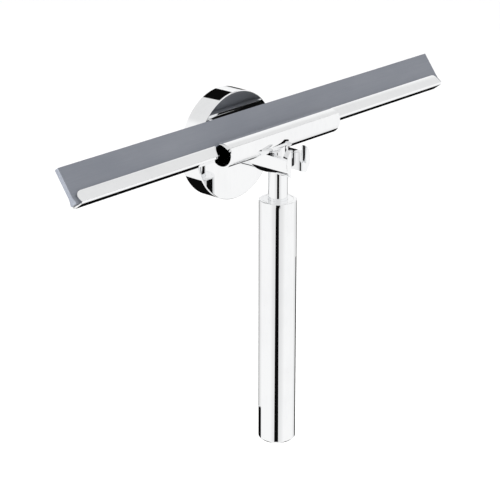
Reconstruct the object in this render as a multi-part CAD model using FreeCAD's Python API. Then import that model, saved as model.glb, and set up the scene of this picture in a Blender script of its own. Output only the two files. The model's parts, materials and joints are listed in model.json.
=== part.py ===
"""Chrome window squeegee hanging on its wall holder.

Units are millimetres. The origin is the centre of the rosette's back face, on the wall.
The wall is the plane y = 0, the holder stands out of it towards -Y, +X runs along the blade
to the right and +Z is up. The blade leans back towards the wall as it rises.
"""
import FreeCAD, Part
import math
import os

Vector = FreeCAD.Vector
X_AXIS = Vector(1, 0, 0)
Y_AXIS = Vector(0, 1, 0)
Z_AXIS = Vector(0, 0, 1)

# Wall rosette and the plate behind it
ROSETTE_RADIUS = 26.5
ROSETTE_DEPTH = 11.0
ROSETTE_RIM = 1.6
ROSETTE_FACE = 2.6
ROSETTE_EDGE_ROUND = 0.5
PLATE_RADIUS = 22.0
PLATE_UNDERCUT = 1.5
PLATE_THICKNESS = 5.0
PLATE_BORE_RADIUS = 7.5
WALL_SCREW_SPACING = 29.0
WALL_SCREW_HOLE_RADIUS = 2.4
WALL_SCREW_HEAD_RADIUS = 4.6
WALL_SCREW_HEAD_DEPTH = 2.2
GRUB_SCREW_RADIUS = 2.0
GRUB_SCREW_Y = -3.8
GRUB_BOSS_RADIUS = 3.6
GRUB_SOCKET_ACROSS_FLATS = 2.0

# Holder arm, with a slot for the stem and a cradle for the sleeve
ARM_RADIUS = 8.4
ARM_FRONT_Y = -50.0
ARM_EDGE = 0.3
ARM_TENON_RADIUS = 5.0
ARM_THREAD_RADIUS = 2.5
ARM_THREAD_DEPTH = 14.0
ARM_DOWEL_RADIUS = 1.0
ARM_DOWEL_HEIGHT = 6.6
ARM_WASHER_THICKNESS = 0.8
ARM_SCREW_HEAD_HEIGHT = 2.7
ARM_SCREW_HEAD_RADIUS = 4.6
SLOT_HALF_WIDTH = 5.3
CRADLE_FLOOR_Z = 2.6
CRADLE_FRONT_Y = -47.2
CRADLE_BACK_Y = -28.6

# Stem and handle
STEM_Y = -37.4
STEM_RADIUS = 4.7
STEM_TOP_Z = 0.85
STUD_RADIUS = 2.5
ROD_RADIUS = 3.0
THREAD_CLEARANCE = 0.05
HOLE_CLEARANCE = 0.25
HANDLE_RADIUS = 9.0
HANDLE_WALL = 1.5
HANDLE_TOP_Z = -20.8
HANDLE_BOTTOM_Z = -144.2
HANDLE_CHAMFER = 1.0
BUSH_LENGTH = 11.2
STEM_SEAT_DEPTH = 6.2
PLUG_LENGTH = 12.0
SEAL_WIRE_RADIUS = 0.6
SPACER_THICKNESS = 5.0
NUT_ACROSS_FLATS = 10.0
NUT_THICKNESS = 5.0

# Blade: the rubber's edge, and the lean of its middle plane as a 3-4-5 triangle
TIP_Y = -24.9
TIP_Z = 21.85
LEAN_SINE = 0.6
LEAN_COSINE = 0.8
RUBBER_HALF_LENGTH = 127.5
RUBBER_HALF_THICKNESS = 1.28
RUBBER_NECK_DEPTH = 14.0
RUBBER_FOOT_DEPTH = 17.2
RUBBER_FOOT_HALF_WIDTH = 2.2
CHANNEL_HALF_LENGTH = 125.5
CHANNEL_LIP_DEPTH = 12.1
CHANNEL_LIP_HALF_WIDTH = 2.25
CHANNEL_WAIST_DEPTH = 15.0
CHANNEL_WAIST_HALF_WIDTH = 2.65
CHANNEL_RIDGE_DEPTH = 17.35
CHANNEL_RIDGE_HALF_WIDTH = 3.75
CHANNEL_FLOOR_DEPTH = 18.2
CHANNEL_FLOOR_HALF_WIDTH = 2.8
CHANNEL_SHEET = 0.85
CHANNEL_CORNER_ROUND = 3.0

# Sleeve that grips the channel
SLEEVE_HALF_LENGTH = 38.0
SLEEVE_WALL = 0.9
SLEEVE_CORNER_ROUND = 1.5
SLEEVE_SLOT_FRONT = 2.6
SLEEVE_SLOT_BACK = -2.5
SLEEVE_RIDGE_ROUND = 0.5
SLEEVE_BELLY_CENTRE = (-36.2, 10.15)
SLEEVE_BELLY_RADIUS = 7.1
SLEEVE_RIDGE_ANGLE = 148.5
SLEEVE_REAR_ANGLE = 3.6
SLEEVE_LIP_BACK = (-34.6, 14.9)
SLEEVE_LIP_CROWN = (-38.4, 14.95)
# The hollow keeps one wall's distance from the belly, the lip's back end and these points,
# so that the wall is about twice as thick under the front lip.
SLEEVE_HOLLOW_RIDGE_ANGLE = 170.7
SLEEVE_HOLLOW_CROWN = (-38.4, 14.4)
SLEEVE_HOLLOW_FRONT = (-41.4, 12.75)
CLAMP_BLOCK_HALF_LENGTH = 10.0
CLAMP_BLOCK_SECTION = [(-40.1, 5.4), (-38.8, 4.55), (-36.4, 4.05), (-34.3, 4.5), (-33.9, 5.4)]
PAD_BOTTOM_Z = 5.95
PAD_HALF_LENGTH = 6.0
PAD_FRONT_Y = -40.0
PAD_BACK_Y = -34.8
PAD_GAP = 0.05
SADDLE_GAP = 0.03

STEM_CENTRE = Vector(0, STEM_Y, 0)


def cylinder(radius, start, end):
    """A round bar from one point to another."""
    along = end - start
    return Part.makeCylinder(radius, along.Length, start, along)


def upright(radius, low_z, high_z):
    """A round bar on the stem's axis between two heights."""
    return cylinder(radius, STEM_CENTRE + Z_AXIS * low_z, STEM_CENTRE + Z_AXIS * high_z)


def outward(radius, back_y, front_y, x=0.0, z=0.0):
    """A round bar that stands out of the wall between two distances."""
    return cylinder(radius, Vector(x, back_y, z), Vector(x, front_y, z))


def block(low, high):
    """A box between two corners."""
    size = Vector(*high) - Vector(*low)
    return Part.makeBox(size.x, size.y, size.z, Vector(*low))


def hexagon(across_flats, centre, along):
    """A hexagonal prism that starts at a point and runs along a vector."""
    corner = across_flats / math.sqrt(3)
    placement = FreeCAD.Placement(centre, FreeCAD.Rotation(Z_AXIS, along))
    turns = [math.radians(60 * step) for step in range(7)]
    points = [placement.multVec(Vector(corner * math.cos(t), corner * math.sin(t), 0)) for t in turns]
    return Part.Face(Part.makePolygon(points)).extrude(along)


def seal_ring(wire_radius, centre_radius, z):
    """A rubber ring round the stem's axis."""
    return Part.makeTorus(centre_radius, wire_radius, STEM_CENTRE + Z_AXIS * z, Z_AXIS)


def section_point(y, z, x=0.0):
    """A point of a cross-section across the blade's length."""
    return Vector(x, y, z)


def blade_point(depth, front, x=0.0):
    """A point given by its depth below the rubber's edge and its distance in front of its middle."""
    y = TIP_Y - LEAN_SINE * depth - LEAN_COSINE * front
    z = TIP_Z - LEAN_COSINE * depth + LEAN_SINE * front
    return Vector(x, y, z)


def line(start, end):
    return Part.LineSegment(start, end).toShape()


def arc(start, middle, end):
    return Part.Arc(start, middle, end).toShape()


def extrude_both_ways(face, half_length):
    """Extrude a cross-section at x = 0 to both sides."""
    moved = face.translated(X_AXIS * -half_length)
    return moved.extrude(X_AXIS * (2 * half_length))


def rounded_end_mask(half_length, corner_round, top_depth, bottom_depth, half_width=30.0):
    """The space inside a plate whose two upper corners are rounded, seen square to the blade."""
    def corner(x, depth):
        return blade_point(depth, -half_width, x)

    bend = corner_round * (1 - math.sqrt(0.5))
    outline = []
    for side in (-1, 1):
        foot = corner(side * half_length, bottom_depth)
        shoulder = corner(side * half_length, top_depth + corner_round)
        middle = corner(side * (half_length - bend), top_depth + bend)
        head = corner(side * (half_length - corner_round), top_depth)
        outline.append((foot, shoulder, middle, head))
    left, right = outline
    edges = [line(left[0], left[1]), arc(left[1], left[2], left[3]), line(left[3], right[3]),
             arc(right[3], right[2], right[1]), line(right[1], right[0]), line(right[0], left[0])]
    across = blade_point(0, half_width) - blade_point(0, -half_width)
    return Part.Face(Part.Wire(edges)).extrude(across)


def blade_slab(low_depth, high_depth, back, front, half_length):
    """A box square to the blade."""
    corners = [blade_point(low_depth, back), blade_point(low_depth, front),
               blade_point(high_depth, front), blade_point(high_depth, back)]
    face = Part.Face(Part.makePolygon(corners + corners[:1]))
    return extrude_both_ways(face, half_length)


# ---------------------------------------------------------------- wall holder

def make_wall_plate():
    """Zinc plate screwed to the wall, with an undercut edge that the grub screw pulls on."""
    plate = Part.makeCone(PLATE_RADIUS - PLATE_UNDERCUT, PLATE_RADIUS, PLATE_THICKNESS,
                          Vector(0, 0, 0), -Y_AXIS)
    plate = plate.cut(outward(PLATE_BORE_RADIUS, 0, -PLATE_THICKNESS))
    for side in (-1, 1):
        x = side * WALL_SCREW_SPACING / 2
        plate = plate.cut(outward(WALL_SCREW_HOLE_RADIUS, 0, -PLATE_THICKNESS, x))
        recess = PLATE_THICKNESS - WALL_SCREW_HEAD_DEPTH
        plate = plate.cut(outward(WALL_SCREW_HEAD_RADIUS, -recess, -PLATE_THICKNESS, x))
    return plate


def make_rosette_cover():
    """Chrome cup over the wall plate, with a boss for the grub screw at the bottom of its rim."""
    outer = outward(ROSETTE_RADIUS, 0, -ROSETTE_DEPTH)
    front_edges = [edge for edge in outer.Edges
                   if abs(edge.CenterOfMass.y + ROSETTE_DEPTH) < 0.01 and edge.Length > ROSETTE_RADIUS]
    cup = outer.makeFillet(ROSETTE_EDGE_ROUND, front_edges)
    inner_radius = ROSETTE_RADIUS - ROSETTE_RIM
    cup = cup.cut(outward(inner_radius, 0, ROSETTE_FACE - ROSETTE_DEPTH))
    boss = cylinder(GRUB_BOSS_RADIUS, Vector(0, GRUB_SCREW_Y, -ROSETTE_RADIUS + ROSETTE_RIM / 2),
                    Vector(0, GRUB_SCREW_Y, -PLATE_RADIUS - 0.8))
    cup = cup.fuse(boss).removeSplitter()
    cup = cup.cut(cylinder(GRUB_SCREW_RADIUS, Vector(0, GRUB_SCREW_Y, -ROSETTE_RADIUS - 1),
                           Vector(0, GRUB_SCREW_Y, -PLATE_RADIUS)))
    cup = cup.cut(outward(ARM_TENON_RADIUS, 0, -ROSETTE_DEPTH))
    return cup.cut(outward(ARM_DOWEL_RADIUS, 0, -ROSETTE_DEPTH, 0, ARM_DOWEL_HEIGHT))


def make_grub_screw():
    """Socket grub screw in the rim, its tip on the wall plate's undercut edge."""
    outer_z = -ROSETTE_RADIUS + 0.4
    tip_z = -PLATE_RADIUS
    tip_length = 0.8
    screw = cylinder(GRUB_SCREW_RADIUS, Vector(0, GRUB_SCREW_Y, outer_z),
                     Vector(0, GRUB_SCREW_Y, tip_z - tip_length))
    tip = Part.makeCone(GRUB_SCREW_RADIUS, GRUB_SCREW_RADIUS / 2, tip_length,
                        Vector(0, GRUB_SCREW_Y, tip_z - tip_length), Z_AXIS)
    socket_depth = 1.8
    socket = hexagon(GRUB_SOCKET_ACROSS_FLATS, Vector(0, GRUB_SCREW_Y, outer_z), Z_AXIS * socket_depth)
    return screw.fuse(tip).removeSplitter().cut(socket)


def make_holder_arm():
    """Round arm with the stem's slot, the sleeve's cradle and a tenon that enters the rosette."""
    arm = outward(ARM_RADIUS, -ROSETTE_DEPTH, ARM_FRONT_Y)
    front_edges = [edge for edge in arm.Edges
                   if abs(edge.CenterOfMass.y - ARM_FRONT_Y) < 0.01 and edge.Length > ARM_RADIUS]
    arm = arm.makeChamfer(ARM_EDGE, front_edges)
    slot = block((-SLOT_HALF_WIDTH, ARM_FRONT_Y - 1, -ARM_RADIUS - 1),
                 (SLOT_HALF_WIDTH, STEM_Y, ARM_RADIUS + 1))
    slot = slot.fuse(upright(SLOT_HALF_WIDTH, -ARM_RADIUS - 1, ARM_RADIUS + 1))
    cradle = block((-ARM_RADIUS - 1, CRADLE_FRONT_Y, CRADLE_FLOOR_Z),
                   (ARM_RADIUS + 1, CRADLE_BACK_Y, ARM_RADIUS + 1))
    tenon_back_y = ROSETTE_FACE - ROSETTE_DEPTH - 0.1
    tenon = outward(ARM_TENON_RADIUS, tenon_back_y, -ROSETTE_DEPTH - 1)
    thread = outward(ARM_THREAD_RADIUS, tenon_back_y, tenon_back_y - ARM_THREAD_DEPTH)
    dowel = outward(ARM_DOWEL_RADIUS, -ROSETTE_DEPTH, -ROSETTE_DEPTH - 4, 0, ARM_DOWEL_HEIGHT)
    return arm.cut(slot).cut(cradle).fuse(tenon).removeSplitter().cut(thread).cut(dowel)


def make_arm_dowel():
    """Pin that stops the arm from turning in the rosette."""
    return outward(ARM_DOWEL_RADIUS, ROSETTE_FACE - ROSETTE_DEPTH, -ROSETTE_DEPTH - 4, 0, ARM_DOWEL_HEIGHT)


def make_arm_washer():
    """Lock washer under the arm screw's head."""
    face_y = ROSETTE_FACE - ROSETTE_DEPTH
    washer = outward(ARM_TENON_RADIUS + 1.8, face_y + ARM_WASHER_THICKNESS, face_y)
    return washer.cut(outward(ARM_THREAD_RADIUS + 0.1, 0, -ROSETTE_DEPTH))


def make_arm_screw():
    """Button-head socket screw that pulls the arm against the rosette."""
    seat_y = ROSETTE_FACE - ROSETTE_DEPTH + ARM_WASHER_THICKNESS
    head_y = seat_y + ARM_SCREW_HEAD_HEIGHT
    head = outward(ARM_SCREW_HEAD_RADIUS, head_y, seat_y)
    back_edges = [edge for edge in head.Edges
                  if abs(edge.CenterOfMass.y - head_y) < 0.01 and edge.Length > ARM_SCREW_HEAD_RADIUS]
    head = head.makeFillet(ARM_SCREW_HEAD_HEIGHT * 0.6, back_edges)
    shank = outward(ARM_THREAD_RADIUS, seat_y, seat_y - ARM_THREAD_DEPTH + 2)
    socket_depth = 1.6
    socket = hexagon(3.0, Vector(0, head_y, 0), -Y_AXIS * socket_depth)
    return head.fuse(shank).removeSplitter().cut(socket)


# -------------------------------------------------------------- blade and sleeve

def belly_point(angle):
    """A point of the sleeve's round belly, by its angle up from the wall side."""
    turn = math.radians(angle)
    y, z = SLEEVE_BELLY_CENTRE
    return section_point(y + SLEEVE_BELLY_RADIUS * math.cos(turn), z + SLEEVE_BELLY_RADIUS * math.sin(turn))


def sleeve_outline():
    """Cross-section of the sleeve as a filled face: a round belly under a lip with a sharp ridge."""
    ridge, bottom, rear = [belly_point(angle) for angle in (SLEEVE_RIDGE_ANGLE, -90, SLEEVE_REAR_ANGLE)]
    back, crown = section_point(*SLEEVE_LIP_BACK), section_point(*SLEEVE_LIP_CROWN)
    edges = [arc(ridge, bottom, rear), line(rear, back), arc(back, crown, ridge)]
    return Part.Face(Part.Wire(edges))


def sleeve_space():
    """The hollow inside the sleeve's wall."""
    ridge, bottom, rear = [belly_point(angle) for angle in (SLEEVE_HOLLOW_RIDGE_ANGLE, -90, SLEEVE_REAR_ANGLE)]
    back, crown, front = [section_point(*point) for point in
                          (SLEEVE_LIP_BACK, SLEEVE_HOLLOW_CROWN, SLEEVE_HOLLOW_FRONT)]
    edges = [arc(ridge, bottom, rear), line(rear, back), arc(back, crown, front), line(front, ridge)]
    around = Part.Face(Part.Wire(edges))
    return extrude_both_ways(around.makeOffset2D(-SLEEVE_WALL), SLEEVE_HALF_LENGTH + 1)


def make_clamp_sleeve():
    """Open tube that wraps the channel; its two lips stand on each side of the rubber."""
    body = extrude_both_ways(sleeve_outline(), SLEEVE_HALF_LENGTH)
    ridge_edges = [edge for edge in body.Edges if edge.Length > SLEEVE_HALF_LENGTH
                   and abs(edge.CenterOfMass.y - belly_point(SLEEVE_RIDGE_ANGLE).y) < 0.01]
    body = body.makeFillet(SLEEVE_RIDGE_ROUND, ridge_edges)
    slot = blade_slab(0, CHANNEL_WAIST_DEPTH, SLEEVE_SLOT_BACK, SLEEVE_SLOT_FRONT, SLEEVE_HALF_LENGTH + 1)
    mask = rounded_end_mask(SLEEVE_HALF_LENGTH, SLEEVE_CORNER_ROUND, 9.5, 30.0)
    body = body.cut(sleeve_space()).cut(slot).common(mask)
    return body.cut(upright(STUD_RADIUS + HOLE_CLEARANCE, 0, PAD_BOTTOM_Z))


def make_clamp_block():
    """Threaded brass block brazed to the sleeve's floor."""
    corners = [section_point(*point) for point in CLAMP_BLOCK_SECTION]
    bar = extrude_both_ways(Part.Face(Part.makePolygon(corners + corners[:1])), CLAMP_BLOCK_HALF_LENGTH)
    return bar.cut(upright(STUD_RADIUS + THREAD_CLEARANCE, 0, PAD_BOTTOM_Z))


def make_pressure_pad():
    """Plastic wedge between the stud's end and the channel's floor."""
    def under_channel(y):
        depth_at_floor = CHANNEL_FLOOR_DEPTH + PAD_GAP
        along = (TIP_Y - y) / LEAN_SINE
        front = (along - depth_at_floor) * LEAN_SINE / LEAN_COSINE
        return blade_point(depth_at_floor, front).z

    corners = [section_point(PAD_FRONT_Y, PAD_BOTTOM_Z), section_point(PAD_BACK_Y, PAD_BOTTOM_Z),
               section_point(PAD_BACK_Y, under_channel(PAD_BACK_Y)),
               section_point(PAD_FRONT_Y, under_channel(PAD_FRONT_Y))]
    return extrude_both_ways(Part.Face(Part.makePolygon(corners + corners[:1])), PAD_HALF_LENGTH)


def make_saddle_washer():
    """Saddle piece, flat below and shaped to the sleeve's belly above."""
    blank = upright(STEM_RADIUS, STEM_TOP_Z + 0.05, 7.2)
    seat = sleeve_outline().makeOffset2D(SADDLE_GAP)
    blank = blank.cut(extrude_both_ways(seat, SLEEVE_HALF_LENGTH))
    return blank.cut(upright(STUD_RADIUS + HOLE_CLEARANCE, 0, PAD_BOTTOM_Z))


def channel_outline():
    """Cross-section of the channel as a filled face, a dovetail with hollow flanks."""
    def flank(side):
        return [blade_point(CHANNEL_LIP_DEPTH, side * CHANNEL_LIP_HALF_WIDTH),
                blade_point(CHANNEL_WAIST_DEPTH, side * CHANNEL_WAIST_HALF_WIDTH),
                blade_point(CHANNEL_RIDGE_DEPTH, side * CHANNEL_RIDGE_HALF_WIDTH),
                blade_point(CHANNEL_FLOOR_DEPTH, side * CHANNEL_FLOOR_HALF_WIDTH)]

    front, back = flank(1), flank(-1)
    edges = [arc(*front[:3]), line(front[2], front[3]), line(front[3], back[3]),
             line(back[3], back[2]), arc(back[2], back[1], back[0]), line(back[0], front[0])]
    return Part.Face(Part.Wire(edges))


def folded_channel():
    """Folded metal channel that holds the rubber by its foot, in one piece."""
    outline = channel_outline()
    body = extrude_both_ways(outline, CHANNEL_HALF_LENGTH)
    space = extrude_both_ways(outline.makeOffset2D(-CHANNEL_SHEET), CHANNEL_HALF_LENGTH + 1)
    neck_half_width = RUBBER_HALF_THICKNESS + 0.1
    neck = blade_slab(0, CHANNEL_WAIST_DEPTH, -neck_half_width, neck_half_width, CHANNEL_HALF_LENGTH + 1)
    mask = rounded_end_mask(CHANNEL_HALF_LENGTH, CHANNEL_CORNER_ROUND, CHANNEL_LIP_DEPTH, 30.0)
    return body.cut(space).cut(neck).common(mask)


def channel_strip(depth_from, depth_to, front_from, front_to):
    """The part of the folded channel between two depths and two distances from its middle plane."""
    cutter = blade_slab(depth_from, depth_to, front_from, front_to, CHANNEL_HALF_LENGTH + 1)
    return folded_channel().common(cutter)


def make_channel_front_wall():
    """Front flank of the channel, down to the bend at its floor."""
    return channel_strip(0, CHANNEL_FLOOR_DEPTH - CHANNEL_SHEET, 0, 10)


def make_channel_back_wall():
    """Rear flank of the channel, down to the bend at its floor."""
    return channel_strip(0, CHANNEL_FLOOR_DEPTH - CHANNEL_SHEET, -10, 0)


def make_channel_floor():
    """Floor of the channel, between its two bends."""
    return channel_strip(CHANNEL_FLOOR_DEPTH - CHANNEL_SHEET, CHANNEL_FLOOR_DEPTH + 1, -10, 10)


def make_blade_rubber():
    """Wiping rubber with a dovetail foot."""
    def side_points(side):
        return [blade_point(0, side * RUBBER_HALF_THICKNESS),
                blade_point(RUBBER_NECK_DEPTH, side * RUBBER_HALF_THICKNESS),
                blade_point(RUBBER_FOOT_DEPTH - 0.4, side * RUBBER_FOOT_HALF_WIDTH),
                blade_point(RUBBER_FOOT_DEPTH, side * (RUBBER_FOOT_HALF_WIDTH - 0.4))]

    front, back = side_points(1), side_points(-1)
    outline = front + back[::-1] + front[:1]
    return extrude_both_ways(Part.Face(Part.makePolygon(outline)), RUBBER_HALF_LENGTH)


# --------------------------------------------------------------- stem and handle

def make_stem():
    """Round rod between the sleeve and the handle, threaded inside at both ends."""
    seat_z = HANDLE_TOP_Z - STEM_SEAT_DEPTH
    stem = upright(STEM_RADIUS, seat_z, STEM_TOP_Z)
    stem = stem.cut(upright(STUD_RADIUS, STEM_TOP_Z - 9, STEM_TOP_Z))
    return stem.cut(upright(ROD_RADIUS, seat_z, seat_z + 8))


def make_stem_stud():
    """Threaded stud that screws up through the sleeve and presses on the pad."""
    return upright(STUD_RADIUS, STEM_TOP_Z - 9, PAD_BOTTOM_Z - PAD_GAP)


def make_handle_tube():
    """Chrome tube that is held in the hand."""
    tube = upright(HANDLE_RADIUS, HANDLE_BOTTOM_Z, HANDLE_TOP_Z)

    def rim(z):
        return [edge for edge in tube.Edges
                if abs(edge.CenterOfMass.z - z) < 0.01 and edge.Length > HANDLE_RADIUS]

    tube = tube.makeChamfer(HANDLE_CHAMFER, rim(HANDLE_BOTTOM_Z))
    tube = tube.makeFillet(0.3, rim(HANDLE_TOP_Z))
    return tube.cut(upright(HANDLE_RADIUS - HANDLE_WALL, HANDLE_BOTTOM_Z - 1, HANDLE_TOP_Z + 1))


def make_handle_bush():
    """Plug in the tube's top that centres the stem."""
    seat_z = HANDLE_TOP_Z - STEM_SEAT_DEPTH
    bush = upright(HANDLE_RADIUS - HANDLE_WALL, HANDLE_TOP_Z - BUSH_LENGTH, HANDLE_TOP_Z)
    bush = bush.cut(upright(STEM_RADIUS, seat_z, HANDLE_TOP_Z + 1))
    bush = bush.cut(upright(ROD_RADIUS + HOLE_CLEARANCE, HANDLE_TOP_Z - BUSH_LENGTH - 1, seat_z))
    groove_radius = STEM_RADIUS + 2 * SEAL_WIRE_RADIUS + 0.1
    groove = upright(groove_radius, HANDLE_TOP_Z - 3.5, HANDLE_TOP_Z - 2.1)
    return bush.cut(groove)


def make_stem_seal():
    """Rubber ring between the stem and the bush."""
    return seal_ring(SEAL_WIRE_RADIUS, STEM_RADIUS + SEAL_WIRE_RADIUS + 0.05, HANDLE_TOP_Z - 2.8)


def make_bush_nut():
    """Nut on the tie rod, tight under the bush."""
    top_z = HANDLE_TOP_Z - BUSH_LENGTH
    nut = hexagon(NUT_ACROSS_FLATS, STEM_CENTRE + Z_AXIS * top_z, Z_AXIS * -NUT_THICKNESS)
    return nut.cut(upright(ROD_RADIUS, top_z - NUT_THICKNESS - 1, top_z + 1))


def make_tie_rod():
    """Threaded rod from the stem's foot to the base plug."""
    seat_z = HANDLE_TOP_Z - STEM_SEAT_DEPTH
    return upright(ROD_RADIUS, HANDLE_BOTTOM_Z + PLUG_LENGTH - 8, seat_z + 7.5)


def make_rod_spacers():
    """Two plastic discs that keep the tube quiet on its rod."""
    length = HANDLE_TOP_Z - HANDLE_BOTTOM_Z
    discs = []
    for share in (0.36, 0.68):
        z = HANDLE_TOP_Z - share * length
        disc = upright(HANDLE_RADIUS - HANDLE_WALL - 0.05, z - SPACER_THICKNESS, z)
        discs.append(disc.cut(upright(ROD_RADIUS + 0.02, z - SPACER_THICKNESS - 1, z + 1)))
    return Part.makeCompound(discs)


def make_base_plug():
    """Plug that screws on the tie rod and closes the tube, with a coin slot below."""
    top_z = HANDLE_BOTTOM_Z + PLUG_LENGTH
    plug = upright(HANDLE_RADIUS - HANDLE_WALL, HANDLE_BOTTOM_Z, top_z)
    plug = plug.cut(upright(ROD_RADIUS, top_z - 8, top_z + 1))
    coin_slot = block((-5.5, STEM_Y - 0.9, HANDLE_BOTTOM_Z - 1), (5.5, STEM_Y + 0.9, HANDLE_BOTTOM_Z + 1.4))
    groove_z = top_z - 4
    tube_inner = HANDLE_RADIUS - HANDLE_WALL
    ring = upright(tube_inner + 1, groove_z - 0.7, groove_z + 0.7)
    ring = ring.cut(upright(tube_inner - 2 * SEAL_WIRE_RADIUS - 0.05, groove_z - 1, groove_z + 1))
    return plug.cut(coin_slot).cut(ring)


def make_base_seal():
    """Rubber ring between the base plug and the tube."""
    centre_radius = HANDLE_RADIUS - HANDLE_WALL - SEAL_WIRE_RADIUS - 0.02
    return seal_ring(SEAL_WIRE_RADIUS, centre_radius, HANDLE_BOTTOM_Z + PLUG_LENGTH - 4)


NODES = {
    "wall_plate": make_wall_plate,
    "rosette_cover": make_rosette_cover,
    "rosette_grub_screw": make_grub_screw,
    "holder_arm": make_holder_arm,
    "arm_dowel_pin": make_arm_dowel,
    "arm_lock_washer": make_arm_washer,
    "arm_screw": make_arm_screw,
    "clamp_sleeve": make_clamp_sleeve,
    "clamp_block": make_clamp_block,
    "pressure_pad": make_pressure_pad,
    "saddle_washer": make_saddle_washer,
    "channel_front_wall": make_channel_front_wall,
    "channel_back_wall": make_channel_back_wall,
    "channel_floor": make_channel_floor,
    "blade_rubber": make_blade_rubber,
    "stem": make_stem,
    "stem_stud": make_stem_stud,
    "handle_tube": make_handle_tube,
    "handle_bush": make_handle_bush,
    "stem_seal": make_stem_seal,
    "bush_nut": make_bush_nut,
    "tie_rod": make_tie_rod,
    "rod_spacers": make_rod_spacers,
    "base_plug": make_base_plug,
    "base_seal": make_base_seal,
}

os.makedirs("parts", exist_ok=True)
for name, make in NODES.items():
    shape = make()
    shape.exportStep(f"parts/{name}.step")
    box = shape.BoundBox
    print(f"{name}: {len(shape.Solids)} solid(s), valid {shape.isValid()}, {shape.Volume:.0f} mm3, "
          f"y {box.YMin:.1f}..{box.YMax:.1f}, z {box.ZMin:.1f}..{box.ZMax:.1f}")
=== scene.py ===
"""Window squeegee hanging on its wall holder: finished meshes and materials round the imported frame.

Lengths are metres in the frame of the CAD model: the wall is y = 0, +X runs along the blade and +Z is up.
"""
import json
import logging
import math
from dataclasses import dataclass
from enum import Enum
from typing import Callable, ClassVar, Dict, List, Optional, Sequence, Tuple, Union

import bmesh
import bpy
from mathutils import Matrix, Vector


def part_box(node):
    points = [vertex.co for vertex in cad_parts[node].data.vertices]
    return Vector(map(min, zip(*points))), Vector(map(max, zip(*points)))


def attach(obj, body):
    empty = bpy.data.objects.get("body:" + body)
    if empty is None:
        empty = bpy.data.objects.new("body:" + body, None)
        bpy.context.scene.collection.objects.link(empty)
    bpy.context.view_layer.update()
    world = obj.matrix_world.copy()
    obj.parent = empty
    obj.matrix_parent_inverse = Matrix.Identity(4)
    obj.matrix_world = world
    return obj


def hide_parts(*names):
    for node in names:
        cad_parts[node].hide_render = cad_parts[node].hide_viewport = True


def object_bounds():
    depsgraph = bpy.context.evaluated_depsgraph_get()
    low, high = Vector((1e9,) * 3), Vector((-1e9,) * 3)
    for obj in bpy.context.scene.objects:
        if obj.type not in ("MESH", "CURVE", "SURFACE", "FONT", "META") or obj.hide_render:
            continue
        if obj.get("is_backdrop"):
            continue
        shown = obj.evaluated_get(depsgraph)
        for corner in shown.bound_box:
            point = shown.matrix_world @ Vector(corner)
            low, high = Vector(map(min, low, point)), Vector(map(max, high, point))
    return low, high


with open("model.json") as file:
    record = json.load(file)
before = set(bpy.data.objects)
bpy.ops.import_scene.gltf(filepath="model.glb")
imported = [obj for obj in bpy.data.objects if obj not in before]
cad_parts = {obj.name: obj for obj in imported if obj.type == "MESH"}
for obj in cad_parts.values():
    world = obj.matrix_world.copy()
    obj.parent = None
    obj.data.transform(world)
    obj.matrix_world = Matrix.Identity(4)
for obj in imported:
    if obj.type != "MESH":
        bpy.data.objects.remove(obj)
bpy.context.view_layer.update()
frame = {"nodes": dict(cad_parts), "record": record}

MM = 0.001
log = logging.getLogger("squeegee")

Point = Tuple[float, float]
Corner = Tuple[float, float, float]
Span = Tuple[float, float]
Colour = Tuple[float, float, float]
Input = Union["Val", float, Tuple[float, ...]]
X_AXIS, Y_AXIS, Z_AXIS = Vector((1, 0, 0)), Vector((0, 1, 0)), Vector((0, 0, 1))


# ------------------------------------------------------------------ shader maths

class Val:
    """One value in a shader graph, which takes part in Python arithmetic."""

    def __init__(self, graph: "Graph", socket: bpy.types.NodeSocket) -> None:
        """Wrap an output socket.

        Args:
            graph: The graph that the socket belongs to.
            socket: The output socket.
        """
        self.graph = graph
        self.socket = socket

    def _math(self, operation: str, first: Input, second: Input) -> "Val":
        """Add a Math node and return its result."""
        return self.graph.node("ShaderNodeMath", {"operation": operation}, {0: first, 1: second})

    def __add__(self, other: Input) -> "Val":
        """Sum."""
        return self._math("ADD", self, other)

    __radd__ = __add__

    def __sub__(self, other: Input) -> "Val":
        """Difference."""
        return self._math("SUBTRACT", self, other)

    def __rsub__(self, other: Input) -> "Val":
        """Reflected difference."""
        return self._math("SUBTRACT", other, self)

    def __mul__(self, other: Input) -> "Val":
        """Product."""
        return self._math("MULTIPLY", self, other)

    __rmul__ = __mul__


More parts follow.
